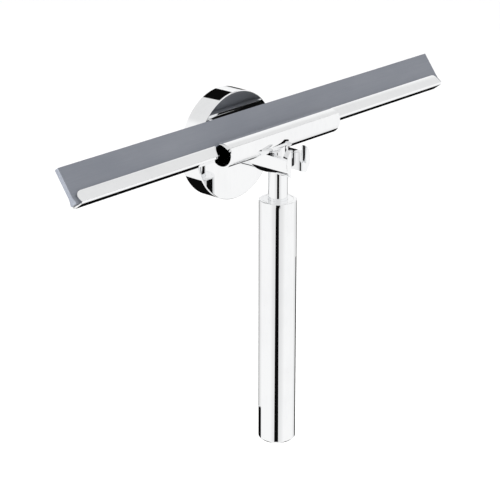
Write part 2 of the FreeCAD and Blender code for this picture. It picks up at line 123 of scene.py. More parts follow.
class Graph:
    """The node graph of one material or of the world."""

    def __init__(self, owner: Union[bpy.types.Material, bpy.types.World], shader: str) -> None:
        """Open the node tree of a material or world.

        Args:
            owner: The material or world.
            shader: The name of the shader node that its tree starts with.
        """
        self.owner = owner
        owner.use_nodes = True
        self.tree = owner.node_tree
        self.shader = self.tree.nodes[shader]

    @classmethod
    def of_material(cls, name: str) -> "Graph":
        """Start a material with a Principled shader."""
        return cls(bpy.data.materials.new(name), "Principled BSDF")

    def node(self, kind: str, settings: Dict[str, object], inputs: Dict[object, Input],
             output: Union[int, str] = 0) -> Val:
        """Add a node, set it up and feed its sockets.

        Args:
            kind: The node's type.
            settings: Its settings, set first; "stops" fills a colour ramp.
            inputs: Values or links by socket name or index.
            output: The socket to return.

        Returns:
            The chosen output as a value.
        """
        made = self.tree.nodes.new(kind)
        for key, value in settings.items():
            if key == "stops":
                self._fill_ramp(made.color_ramp, value)
            else:
                setattr(made, key, value)
        for key, value in inputs.items():
            self._feed(made.inputs[key], value)
        return Val(self, made.outputs[output])

    @staticmethod
    def _fill_ramp(ramp: bpy.types.ColorRamp, stops: Sequence[Tuple[float, float]]) -> None:
        """Give a ramp its grey stops.

        Args:
            ramp: The ramp.
            stops: Its stops, as places and levels.
        """
        while len(ramp.elements) < len(stops):
            ramp.elements.new(0.5)
        for element, (place, level) in zip(ramp.elements, stops):
            element.position = place
            element.color = (level, level, level, 1)

    def _feed(self, socket: bpy.types.NodeSocket, value: Input) -> None:
        """Link a value to a socket, or set the socket's own number.

        Args:
            socket: The socket.
            value: What it gets.
        """
        if isinstance(value, Val):
            self.tree.links.new(value.socket, socket)
        else:
            socket.default_value = value

    def surface(self, **sockets: Input) -> None:
        """Feed the shader's sockets; an underscore in a name stands for a space."""
        for key, value in sockets.items():
            self._feed(self.shader.inputs[key.replace("_", " ")], value)

    def place(self, scale: Tuple[float, float, float] = (1, 1, 1)) -> Val:
        """Object coordinates, stretched by a scale along each axis."""
        where = self.node("ShaderNodeTexCoord", {}, {}, "Object")
        return self.node("ShaderNodeMapping", {}, {"Vector": where, "Scale": scale})

    def noise(self, where: Val, scale: float, detail: float = 2.0, roughness: float = 0.5) -> Val:
        """Noise from 0 to 1; scale is features per metre."""
        return self.node("ShaderNodeTexNoise", {},
                         {"Vector": where, "Scale": scale, "Detail": detail, "Roughness": roughness})

    def blend(self, value: Val, span: Span, low: float, high: float) -> Val:
        """Ease from low to high while a value goes through a span."""
        return self.node("ShaderNodeMapRange", {"interpolation_type": "SMOOTHSTEP"},
                         {"Value": value, "From Min": span[0], "From Max": span[1],
                          "To Min": low, "To Max": high})

    def ramp(self, value: Val, stops: Sequence[Tuple[float, float]]) -> Val:
        """Map a value through grey stops."""
        return self.node("ShaderNodeValToRGB", {"stops": stops}, {"Fac": value})

    def mix(self, factor: Val, low: Colour, high: Colour) -> Val:
        """Blend two colours; a Mix node's colour sockets are its inputs 6 and 7 and its output 2."""
        return self.node("ShaderNodeMix", {"data_type": "RGBA"},
                         {"Factor": factor, 6: (*low, 1.0), 7: (*high, 1.0)}, 2)

    def bump(self, height: Val, depth: float, strength: float = 1.0) -> Val:
        """A normal from a height of 0 to 1 and its depth in metres."""
        return self.node("ShaderNodeBump", {},
                         {"Strength": strength, "Distance": depth, "Height": height})


# ---------------------------------------------------------------------- finishes

@dataclass(frozen=True)
class Polish:
    """Mirror-bright plating with faint wiping smears and the slight waves of hand polishing."""

    name: str = "chrome_plating"
    bright: Colour = (0.93, 0.935, 0.94)
    dull: Colour = (0.86, 0.865, 0.875)
    roughness: float = 0.012
    smear: float = 0.03
    wave_depth: float = 0.004 * MM

    def build(self) -> bpy.types.Material:
        """Make the material."""
        graph = Graph.of_material(self.name)
        film = graph.noise(graph.place(), 55.0, 4.0, 0.55)
        wiping = graph.noise(graph.place((1.0, 1.0, 0.25)), 420.0, 3.0, 0.6)
        smears = graph.ramp(film * 0.65 + wiping * 0.35, [(0.42, 0.0), (0.72, 1.0)])
        specks = graph.ramp(graph.noise(graph.place(), 2600.0, 1.0), [(0.74, 0.0), (0.80, 1.0)])
        waves = graph.noise(graph.place(), 90.0, 1.0)
        graph.surface(Base_Color=graph.mix(smears * 0.6 + specks * 0.3, self.bright, self.dull),
                      Roughness=self.roughness + smears * self.smear + specks * 0.05,
                      Metallic=1.0, Normal=graph.bump(waves, self.wave_depth, 0.35))
        return graph.owner


@dataclass(frozen=True)
class Rubber:
    """Moulded rubber with a fine skin, faint draw lines along its length and a little pale bloom."""

    name: str
    tone: Colour
    bloom: Colour
    roughness: float = 0.55
    grain_depth: float = 0.03 * MM

    def build(self) -> bpy.types.Material:
        """Make the material."""
        graph = Graph.of_material(self.name)
        grain = graph.noise(graph.place(), 4200.0, 3.0, 0.6)
        draw_lines = graph.noise(graph.place((0.03, 1.0, 1.0)), 2200.0, 2.0)
        cloud = graph.noise(graph.place((0.4, 1.0, 1.0)), 60.0, 5.0, 0.6)
        bloom = graph.ramp(cloud * 0.7 + draw_lines * 0.3, [(0.38, 0.0), (0.75, 1.0)])
        height = grain * 0.6 + draw_lines * 0.4
        graph.surface(Base_Color=graph.mix(bloom, self.tone, self.bloom),
                      Roughness=self.roughness + bloom * 0.12 + grain * 0.1,
                      Normal=graph.bump(height, self.grain_depth, 0.5))
        return graph.owner


class Texture(Enum):
    """How a plain surface was made: its marks' scale across and up, to the depth's, and per metre."""

    TURNED = (0.08, 5200.0)
    CAST = (1.0, 1500.0)
    MOULDED = (1.0, 700.0)


@dataclass(frozen=True)
class Plain:
    """Bare metal or plastic, with its making marks and stains."""

    name: str
    tone: Colour
    stain: Colour
    metallic: float
    roughness: float
    texture: Texture
    depth: float = 0.02 * MM

    def build(self) -> bpy.types.Material:
        """Make the material."""
        stretch, scale = self.texture.value
        graph = Graph.of_material(self.name)
        marks = graph.noise(graph.place((stretch, 1.0, stretch)), scale, 3.0, 0.6)
        stains = graph.ramp(graph.noise(graph.place(), 160.0, 4.0), [(0.4, 0.0), (0.7, 1.0)])
        graph.surface(Base_Color=graph.mix(stains * 0.7 + marks * 0.2, self.tone, self.stain),
                      Roughness=self.roughness + marks * 0.12 + stains * 0.08,
                      Metallic=self.metallic, Normal=graph.bump(marks, self.depth, 0.6))
        return graph.owner


class Finishes:
    """Every material of the object, by the record's slot names."""

    def __init__(self) -> None:
        """Build the materials."""
        self.by_slot: Dict[str, bpy.types.Material] = {
            "chrome_trim": Polish().build(),
            "blade_rubber": Rubber("grey_wiping_rubber", tone=(0.145, 0.156, 0.182),
                                   bloom=(0.18, 0.19, 0.214)).build(),
            "seal_rubber": Rubber("black_seal_rubber", tone=(0.018, 0.018, 0.02),
                                  bloom=(0.05, 0.05, 0.052)).build(),
            "stainless_fastener": Plain("turned_steel", (0.6, 0.61, 0.63), (0.45, 0.46, 0.48),
                                        metallic=1.0, roughness=0.24, texture=Texture.TURNED).build(),
            "zinc_bracket": Plain("cast_zinc", (0.52, 0.53, 0.55), (0.4, 0.41, 0.43), metallic=0.9,
                                  roughness=0.42, texture=Texture.CAST, depth=0.05 * MM).build(),
            "brass_block": Plain("machined_brass", (0.76, 0.56, 0.24), (0.56, 0.39, 0.16),
                                 metallic=1.0, roughness=0.25, texture=Texture.TURNED).build(),
            "inner_plastic": Plain("natural_nylon", (0.74, 0.73, 0.68), (0.66, 0.65, 0.6), metallic=0.0,
                                   roughness=0.45, texture=Texture.MOULDED, depth=0.03 * MM).build(),
        }

    def of_node(self, node: str) -> Tuple[str, bpy.types.Material]:
        """Look up the finish that the record gives a CAD node.

        Args:
            node: The node's name.

        Returns:
            Its material slot and that slot's material.
        """
        for part in frame["record"]["subparts"]:
            if part["node"] == node:
                return part["material_slot"], self.by_slot[part["material_slot"]]
        raise KeyError(node)


# -------------------------------------------------------------------- mesh tools

@dataclass(frozen=True)
class Edge:
    """How a piece's sharp edges are softened: width, segments and the least angle in degrees."""

    width: float
    segments: int
    angle: float


TURNED_EDGE = Edge(0.05 * MM, 1, 50)


def rounded(corners: Sequence[Corner], closed: bool, step: float = 12.0) -> List[Point]:
    """Round the corners of an outline.

    Args:
        corners: Corners as two coordinates and a rounding radius.
        closed: Whether the outline returns to its first corner.
        step: Largest turn between two points of a rounding, in degrees.

    Returns:
        The outline's points.
    """
    points: List[Point] = []
    count = len(corners)
    for index, (a, b, radius) in enumerate(corners):
        here = Vector((a, b))
        if radius <= 0 or (not closed and index in (0, count - 1)):
            points.append((a, b))
            continue
        to_last = (Vector(corners[index - 1][:2]) - here).normalized()
        to_next = (Vector(corners[(index + 1) % count][:2]) - here).normalized()
        half = math.acos(max(-1.0, min(1.0, to_last.dot(to_next)))) / 2
        reach = radius / math.tan(half)
        centre = here + (to_last + to_next).normalized() * (radius / math.sin(half))
        first, last = here + to_last * reach - centre, here + to_next * reach - centre
        turn = math.atan2(first.x * last.y - first.y * last.x, first.dot(last))
        pieces = max(2, math.ceil(abs(math.degrees(turn)) / step))
        for piece in range(pieces + 1):
            spoke = Matrix.Rotation(turn * piece / pieces, 2) @ first
            points.append(tuple(centre + spoke))
    return points


def on_section(points: Sequence[Point]) -> List[Vector]:
    """Points y and z, set in the plane x = 0."""
    return [Vector((0, y, z)) for y, z in points]


def arc_points(start: Vector, middle: Vector, end: Vector, pieces: int) -> List[Vector]:
    """Divide the arc through three points.

    Args:
        start: Its first point.
        middle: A point between its ends.
        end: Its last point.
        pieces: How many parts it's divided into.

    Returns:
        The points, both ends included.
    """
    chord_a, chord_b = middle - start, end - start
    normal = chord_a.cross(chord_b)
    centre = start + (chord_a.length_squared * chord_b.cross(normal)
                      - chord_b.length_squared * chord_a.cross(normal)) / (2 * normal.length_squared)
    spoke, last = start - centre, end - centre
    axis = normal.normalized()
    turn = math.atan2(axis.dot(spoke.cross(last)), spoke.dot(last)) % (2 * math.pi)
    return [centre + Matrix.Rotation(turn * i / pieces, 3, axis) @ spoke for i in range(pieces + 1)]


def turned(outline: Sequence[Point], base: Vector, axis: Vector, closed: bool,
           steps: int = 144) -> bmesh.types.BMesh:
    """Spin an outline round an axis.

    Args:
        outline: Points as radius and distance along the axis.
        base: A point of the axis, from which the distance counts.
        axis: The axis.
        closed: Whether the outline is a closed ring; an open one ends on the axis.
        steps: Faces round the axis.

    Returns:
        The turned shape.
    """
    bm = bmesh.new()
    side = axis.orthogonal().normalized()
    verts = [bm.verts.new(base + side * radius + axis * along) for radius, along in outline]
    pairs = list(zip(verts, verts[1:]))
    if closed:
        pairs.append((verts[-1], verts[0]))
    edges = [bm.edges.new(pair) for pair in pairs]
    bmesh.ops.spin(bm, geom=verts + edges, cent=base, axis=axis, angle=2 * math.pi, steps=steps,
                   use_merge=True)
    bmesh.ops.remove_doubles(bm, verts=bm.verts, dist=1e-7)
    bmesh.ops.recalc_face_normals(bm, faces=bm.faces)
    return bm


def rod(radius: float, length: float, base: Vector) -> bmesh.types.BMesh:
    """Upright round bar that stands on a point."""
    outline = [(0, 0), (radius, 0), (radius, length), (0, length)]
    return turned(outline, base, Z_AXIS, closed=False, steps=48)


def extruded_verts(grown: Dict[str, Sequence[object]]) -> List[bmesh.types.BMVert]:
    """The vertices among what an extrusion made."""
    return [item for item in grown["geom"] if isinstance(item, bmesh.types.BMVert)]


def prism(loop: Sequence[Vector], sweep: Vector) -> bmesh.types.BMesh:
    """Extrude a closed flat loop into a solid.

    Args:
        loop: The loop's points in order.
        sweep: How far and which way it's extruded.

    Returns:
        The solid.
    """
    bm = bmesh.new()
    face = bm.faces.new([bm.verts.new(point) for point in loop])
    grown = bmesh.ops.extrude_face_region(bm, geom=[face])
    bmesh.ops.translate(bm, vec=sweep, verts=extruded_verts(grown))
    bmesh.ops.recalc_face_normals(bm, faces=bm.faces)
    return bm


def rolled_sheet(path: Sequence[Vector], half_length: float, corner_round: float) -> bmesh.types.BMesh:
    """Draw a line along the blade into a sheet whose corners beside the lips are rounded.

    Args:
        path: The sheet's outer line in the plane x = 0, from lip to lip.
        half_length: Half the sheet's length.
        corner_round: Radius of its four corners.

    Returns:
        The sheet, with no thickness.
    """
    lengths = [0.0]
    for before, after in zip(path, path[1:]):
        lengths.append(lengths[-1] + (after - before).length)
    total = lengths[-1]

    def setback(place: float) -> float:
        """How far the sheet's end stands back at a distance along its line."""
        depth = min(place, total - place)
        rest = max(0.0, corner_round - depth)
        return corner_round - math.sqrt(corner_round ** 2 - rest ** 2)

    bm = bmesh.new()
    verts = [bm.verts.new(point - X_AXIS * (half_length - setback(place)))
             for point, place in zip(path, lengths)]
    edges = [bm.edges.new(pair) for pair in zip(verts, verts[1:])]
    grown = bmesh.ops.extrude_edge_only(bm, edges=edges)
    for vert in extruded_verts(grown):
        vert.co.x = -vert.co.x
    bmesh.ops.recalc_face_normals(bm, faces=bm.faces)
    return bm


def to_object(bm: bmesh.types.BMesh, name: str) -> bpy.types.Object:
    """Turn a bmesh into an object of the scene with smooth faces.

    Args:
        bm: The bmesh, which is used up.
        name: The object's name.

    Returns:
        The object.
    """
    mesh = bpy.data.meshes.new(name)
    bm.to_mesh(mesh)
    bm.free()
    mesh.shade_smooth()
    made = bpy.data.objects.new(name, mesh)
    bpy.context.scene.collection.objects.link(made)
    return made


def apply_modifiers(obj: bpy.types.Object) -> None:
    """Replace an object's mesh by the result of its modifiers.

    Args:
        obj: The object.
    """
    graph = bpy.context.evaluated_depsgraph_get()
    graph.update()
    result = bpy.data.meshes.new_from_object(obj.evaluated_get(graph))
    obj.modifiers.clear()
    obj.data = result


def carve(obj: bpy.types.Object, tool: bmesh.types.BMesh, operation: str = "DIFFERENCE") -> None:
    """Cut a tool's shape out of an object, or join it on.

    Args:
        obj: The object.
        tool: The shape, which is used up.
        operation: DIFFERENCE to cut or UNION to join.
    """
    cutter = to_object(tool, obj.name + "_tool")
    step = obj.modifiers.new("carve", "BOOLEAN")
    step.operation, step.solver, step.object = operation, "EXACT", cutter
    apply_modifiers(obj)
    bpy.data.objects.remove(cutter)


def thicken(obj: bpy.types.Object, wall: float, share: Optional[Callable[[Vector], float]] = None) -> None:
    """Give a sheet its wall, on the inner side of the line it was drawn with.

    Args:
        obj: The sheet.
        wall: Its thickness.
        share: Share of that thickness at a point, or None when it's the same everywhere.
    """
    middle = sum((Vector(corner) for corner in obj.bound_box), Vector()) / 8
    face = min(obj.data.polygons, key=lambda f: f.center.z)
    outward = face.normal.dot(face.center - middle) > 0
    step = obj.modifiers.new("wall", "SOLIDIFY")
    step.thickness, step.use_even_offset = wall, True
    step.offset = -1.0 if outward else 1.0
    if share:
        group = obj.vertex_groups.new(name="wall")
        for vert in obj.data.vertices:
            group.add([vert.index], share(vert.co), "REPLACE")
        step.vertex_group = group.name
    apply_modifiers(obj)


def soften(obj: bpy.types.Object, edge: Edge) -> None:
    """Round an object's sharp edges and keep its flat faces flat.

    Args:
        obj: The object.
        edge: How its edges are rounded.
    """
    bevel = obj.modifiers.new("bevel", "BEVEL")
    bevel.width, bevel.segments = edge.width, edge.segments
    bevel.limit_method, bevel.angle_limit = "ANGLE", math.radians(edge.angle)
    bevel.use_clamp_overlap, bevel.miter_outer = True, "MITER_ARC"
    weights = obj.modifiers.new("weights", "WEIGHTED_NORMAL")
    weights.weight, weights.keep_sharp = 60, True
    apply_modifiers(obj)


def axis_y(node: str) -> float:
    """The y of an upright round CAD node's axis."""
    low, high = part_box(node)
    return (low.y + high.y) / 2


@dataclass(frozen=True)
class Lean:
    """The leaning plane of the blade, measured down from the rubber's edge and out in front of it."""

    tip_y: float = -24.9 * MM
    tip_z: float = 21.85 * MM
    sine: float = 0.6
    cosine: float = 0.8

    def point(self, depth: float, front: float, x: float = 0.0) -> Vector:
        """A point from its depth below the edge and its distance in front of the middle plane."""
        return Vector((x, self.tip_y - self.sine * depth - self.cosine * front,
                       self.tip_z - self.cosine * depth + self.sine * front))

    def depth(self, point: Vector) -> float:
        """How far a point lies below the rubber's edge, along the plane."""
        return (self.tip_z - point.z) * self.cosine + (self.tip_y - point.y) * self.sine

    def front(self, point: Vector) -> float:
        """How far a point lies in front of the middle plane."""
        return (self.tip_y - point.y) * self.cosine + (point.z - self.tip_z) * self.sine


LEAN = Lean()


# ---------------------------------------------------------------- sub-assemblies

@dataclass
class Assembly:
    """A group of pieces that ride on one CAD body."""

    body: ClassVar[str] = ""
    finishes: Finishes

    def dress(self, obj: bpy.types.Object, *nodes: str) -> bpy.types.Object:
        """Give a new piece its finish and body, and let it stand for CAD nodes.

        Args:
            obj: The piece.
            nodes: The CAD nodes that it replaces.

        Returns:
            The same piece.
        """
        slot, material = self.finishes.of_node(nodes[0])
        obj.data.materials.clear()
        obj.data.materials.append(material)
        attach(obj, self.body)
        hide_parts(*nodes)
        log.info("%s: %d faces on %s", obj.name, len(obj.data.polygons), self.body)
        return obj

    def keep(self, *nodes: str) -> None:
        """Show CAD nodes with their own shape and the finish of their slot.

        Args:
            nodes: The nodes' names.
        """
        for node in nodes:
            piece = frame["nodes"][node]
            material = self.finishes.of_node(node)[1]
            piece.data.materials.clear()
            piece.data.materials.append(material)
            log.info("%s: kept from the frame", node)


@dataclass
class WallHolder(Assembly):
    """Rosette, slotted arm and what is behind them."""

    body: ClassVar[str] = "holder"
    rim: float = 1.6 * MM
    face: float = 2.6 * MM
    edge_round: float = 0.5 * MM
    back_round: float = 0.25 * MM
    inner_round: float = 0.5 * MM
    bore: float = 5.0 * MM
    fine_round: float = 0.1 * MM
    grub_radius: float = 2.0 * MM
    grub_y: float = -3.8 * MM
    boss_radius: float = 3.6 * MM
    boss_gap: float = 0.8 * MM
    arm_chamfer: float = 0.3 * MM
    slot_half_width: float = 5.3 * MM
    cradle_floor: float = 2.6 * MM
    cradle_front: float = -47.2 * MM
    cradle_back: float = -28.6 * MM
    margin: float = 2.0 * MM

    def build(self) -> None:
        """Make every piece of the holder."""
        self.rosette()
        self.arm()
        self.keep("wall_plate", "rosette_grub_screw", "arm_dowel_pin", "arm_lock_washer", "arm_screw")

    def rosette(self) -> bpy.types.Object:
        """Thick round cup with a softly rounded front edge and a hole for its grub screw."""
        low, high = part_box("rosette_cover")
        radius, depth = high.x, -low.y
        inner, floor = radius - self.rim, depth - self.face
        outline = rounded([(self.bore, depth, self.fine_round), (radius, depth, self.edge_round),
                           (radius, 0, self.back_round), (inner, 0, self.back_round),
                           (inner, floor, self.inner_round), (self.bore, floor, self.fine_round)],
                          closed=True)
        cup = to_object(turned(outline, Vector(), -Y_AXIS, closed=True, steps=192), "rosette_cup")
        boss_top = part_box("wall_plate")[1].x + self.boss_gap
        boss_foot = radius - self.rim / 2
        carve(cup, rod(self.boss_radius, boss_foot - boss_top, Vector((0, self.grub_y, -boss_foot))), "UNION")
        drilled = radius - boss_top + self.margin
        carve(cup, rod(self.grub_radius, drilled, Vector((0, self.grub_y, -radius - self.margin / 2))))
        soften(cup, Edge(self.fine_round, 2, 40))
        return self.dress(cup, "rosette_cover")

    def arm(self) -> bpy.types.Object:
        """Round arm with the stem's slot, open in front, and the cradle across its top."""
        low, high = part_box("holder_arm")
        radius, front = high.x, low.y
        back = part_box("rosette_cover")[0].y
        outline = rounded([(0, -back, 0), (radius, -back, self.fine_round),
                           (radius, -front, self.arm_chamfer), (0, -front, 0)], closed=False)
        bar = to_object(turned(outline, Vector(), -Y_AXIS, closed=False, steps=160), "slotted_arm")
        beyond = radius + self.margin
        carve(bar, self.slot(front - self.margin, beyond))
        carve(bar, self.cradle(beyond))
        soften(bar, Edge(0.12 * MM, 3, 35))
        return self.dress(bar, "holder_arm")

    def slot(self, mouth_y: float, beyond: float) -> bmesh.types.BMesh:
        """The space that the stem enters, with a half-round inner end.

        Args:
            mouth_y: Where the cut starts, in front of the arm.
            beyond: How far it goes above and below the arm's axis.

        Returns:
            The shape to cut out.
        """
        half, stem_y = self.slot_half_width, axis_y("stem")
        bend = [Vector((half * math.cos(t), stem_y + half * math.sin(t), -beyond))
                for t in (math.pi * i / 48 for i in range(49))]
        mouth = [Vector((side * half, mouth_y, -beyond)) for side in (-1, 1)]
        return prism(bend + mouth, Z_AXIS * (2 * beyond))

    def cradle(self, beyond: float) -> bmesh.types.BMesh:
        """The space across the arm's top that the sleeve lies in, up to a height and to each side."""
        corners = ((-beyond, self.cradle_front), (beyond, self.cradle_front),
                   (beyond, self.cradle_back), (-beyond, self.cradle_back))
        return prism([Vector((x, y, self.cradle_floor)) for x, y in corners], Z_AXIS * beyond)


@dataclass
class Head(Assembly):
    """Sleeve that grips the blade, and the clamp inside it. Angles go up from the wall side."""

    body: ClassVar[str] = "head"
    wall: float = 0.9 * MM
    centre: Point = (-36.2 * MM, 10.15 * MM)
    radius: float = 7.1 * MM
    ridge_angle: float = 148.5
    rear_angle: float = 3.6
    lip_crown: Point = (-38.4 * MM, 14.95 * MM)
    lip_back: Point = (-34.6 * MM, 14.9 * MM)
    lip_wall: float = 2.1 * MM
    thick_from: float = 176.0
    slot_front: float = 2.6 * MM
    slot_back: float = -2.5 * MM
    ridge_round: float = 0.5 * MM
    ridge_reach: float = 10.0
    corner_round: float = 1.5 * MM
    stud_hole: float = 2.75 * MM
    saddle_gap: float = 0.03 * MM
    saddle_top: float = 7.0 * MM

    def build(self) -> None:
        """Make every piece of the head."""
        self.sleeve()
        self.saddle()
        self.keep("clamp_block", "pressure_pad")

    def belly(self, angle: float, grow: float = 0.0) -> Vector:
        """Find a point of the round belly.

        Args:
            angle: Its angle in degrees, up from the wall side.
            grow: How far outside the belly it lies.

        Returns:
            The point, in the plane x = 0.
        """
        turn = math.radians(angle)
        radius = self.radius + grow
        y, z = self.centre
        return Vector((0, y + radius * math.cos(turn), z + radius * math.sin(turn)))

    def section(self) -> List[Vector]:
        """The sleeve's outer line from the front lip, round the belly, to the rear lip."""
        ridge, rear = self.belly(self.ridge_angle), self.belly(self.rear_angle)
        crown, back = on_section([self.lip_crown, self.lip_back])
        lip = arc_points(back, crown, ridge, 24)
        start = self.ridge_angle + self.ridge_reach
        under = self.belly(start)
        corners = [(lip[-3].y, lip[-3].z, 0.0), (ridge.y, ridge.z, self.ridge_round),
                   (under.y, under.z, 0.0)]
        nose = on_section(rounded(corners, closed=False, step=10))
        sweep = 360 + self.rear_angle - start
        steps = 72
        belly = [self.belly(start + sweep * i / steps) for i in range(1, steps + 1)]
        roof_back, roof_front = self.roof_points(rear, back)
        return [roof_front] + lip[1:-3] + nose + belly + [roof_back]

    def wall_share(self, point: Vector) -> float:
        """Find how thick the wall is, thickest at the ridge and thin from the belly's front on.

        Args:
            point: A point of the sleeve's outer line.

        Returns:
            The wall there, as a share of the lip's.
        """
        thin = self.wall / self.lip_wall
        y, z = self.centre
        angle = math.degrees(math.atan2(point.z - z, point.y - y)) % 360
        top = 90
        if angle < top or angle > self.thick_from:
            return thin
        below = (self.thick_from - angle) / (self.thick_from - self.ridge_angle)
        above = (angle - top) / (self.ridge_angle - top)
        return thin + (1 - thin) * min(below, above)

    def roof_points(self, rear: Vector, back: Vector) -> List[Vector]:
        """Where the slot's back and front sides cross the line that joins the lips' ends."""
        first, last = LEAN.front(rear), LEAN.front(back)
        return [rear.lerp(back, (side - first) / (last - first))
                for side in (self.slot_back, self.slot_front)]

    def sleeve(self) -> bpy.types.Object:
        """Bent sheet with a round belly, a sharp ridge and two lips."""
        sheet = rolled_sheet(self.section(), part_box("clamp_sleeve")[1].x, self.corner_round)
        sleeve = to_object(sheet, "blade_sleeve")
        thicken(sleeve, self.lip_wall, self.wall_share)
        carve(sleeve, rod(self.stud_hole, 6 * MM, Vector((0, axis_y("stem"), 0))))
        soften(sleeve, Edge(0.12 * MM, 3, 40))
        return self.dress(sleeve, "clamp_sleeve")

    def saddle(self) -> bpy.types.Object:
        """Short piece of the stem's thickness, hollowed on top to fit the belly."""
        low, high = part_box("saddle_washer")
        radius, middle = high.x, axis_y("saddle_washer")
        outline = rounded([(0, 0, 0), (radius, 0, 0.1 * MM), (radius, self.saddle_top, 0),
                           (0, self.saddle_top, 0)], closed=False)
        bar = turned(outline, Vector((0, middle, low.z)), Z_AXIS, closed=False, steps=96)
        piece = to_object(bar, "saddle")
        reach = 12 * MM
        ring = [self.belly(360 * i / 96, self.saddle_gap) - X_AXIS * reach for i in range(96)]
        carve(piece, prism(ring, X_AXIS * 2 * reach))
        carve(piece, rod(self.stud_hole, 9 * MM, Vector((0, middle, -1 * MM))))
        soften(piece, Edge(0.06 * MM, 2, 35))
        return self.dress(piece, "saddle_washer")


@dataclass
class Channel(Assembly):
    """Folded dovetail channel; its points are depths below the rubber's edge and half widths."""

    body: ClassVar[str] = "blade"
    lip: Point = (12.1 * MM, 2.25 * MM)
    waist: Point = (15.0 * MM, 2.65 * MM)
    ridge: Point = (17.35 * MM, 3.75 * MM)
    floor: Point = (18.2 * MM, 2.8 * MM)
    sheet: float = 0.85 * MM
    bend: float = 0.3 * MM
    corner_round: float = 3.0 * MM

    def flank(self, side: int) -> List[Vector]:
        """One hollow flank from the lip down to the ridge; side 1 is the front and -1 the back."""
        ends = [LEAN.point(depth, side * front) for depth, front in (self.lip, self.waist, self.ridge)]
        return arc_points(*ends, 16)

    def build(self) -> bpy.types.Object:
        """Fold the channel from one sheet."""
        front, back = self.flank(1), self.flank(-1)
        depth, half = self.floor
        bends = [front[-1], LEAN.point(depth, half), LEAN.point(depth, -half), back[-1]]
        corners = ([(front[-2].y, front[-2].z, 0)] + [(v.y, v.z, self.bend) for v in bends]
                   + [(back[-2].y, back[-2].z, 0)])
        fold = on_section(rounded(corners, closed=False, step=15))
        path = front[:-2] + fold + back[:-2][::-1]
        sheet = rolled_sheet(path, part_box("channel_floor")[1].x, self.corner_round)
        piece = to_object(sheet, "folded_channel")
        thicken(piece, self.sheet)
        soften(piece, Edge(0.1 * MM, 3, 40))
        return self.dress(piece, "channel_floor", "channel_front_wall", "channel_back_wall")


@dataclass
class WipingRubber(Assembly):
    """Rubber blade with a dovetail foot."""

    body: ClassVar[str] = "rubber"
    half_thickness: float = 1.28 * MM
    neck: float = 14.0 * MM
    neck_round: float = 0.6 * MM
    foot: float = 17.2 * MM
    foot_half_width: float = 2.2 * MM
    foot_chamfer: float = 0.4 * MM
    edge_round: float = 0.12 * MM
    wave: float = 0.12 * MM
    free_depth: float = 12.0 * MM
    stations: int = 64

    def build(self) -> bpy.types.Object:
        """Mould the rubber and let its free edge wander slightly."""
        half_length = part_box("blade_rubber")[1].x
        side = [(0, self.half_thickness, self.edge_round),
                (self.neck, self.half_thickness, self.neck_round),
                (self.foot - self.foot_chamfer, self.foot_half_width, 0.2 * MM),
                (self.foot, self.foot_half_width - self.foot_chamfer, 0.1 * MM)]
        corners = side + [(depth, -front, radius) for depth, front, radius in side[::-1]]
        outline = rounded(corners, closed=True, step=25)
        bm = prism([LEAN.point(depth, front, -half_length) for depth, front in outline],
                   X_AXIS * 2 * half_length)
        for cut in range(1, self.stations):
            x = half_length * (2 * cut / self.stations - 1)
            bmesh.ops.bisect_plane(bm, geom=bm.verts[:] + bm.edges[:] + bm.faces[:],
                                   plane_co=Vector((x, 0, 0)), plane_no=X_AXIS)
        self.wander(bm, half_length)
        piece = to_object(bm, "wiping_rubber")
        soften(piece, Edge(self.edge_round, 2, 40))
        return self.dress(piece, "blade_rubber")

    def wander(self, bm: bmesh.types.BMesh, half_length: float) -> None:
        """Bend the free edge a little to and fro, less and less down to the channel.

        Args:
            bm: The rubber.
            half_length: Half its length.
        """
        forward = LEAN.point(0, 1) - LEAN.point(0, 0)
        for vert in bm.verts:
            free = max(0.0, 1 - LEAN.depth(vert.co) / self.free_depth) ** 2
            phase = vert.co.x / half_length
            drift = math.sin(5.3 * phase + 0.6) + 0.5 * math.sin(13.7 * phase + 2.1)
            vert.co += forward * (self.wave * free * drift)


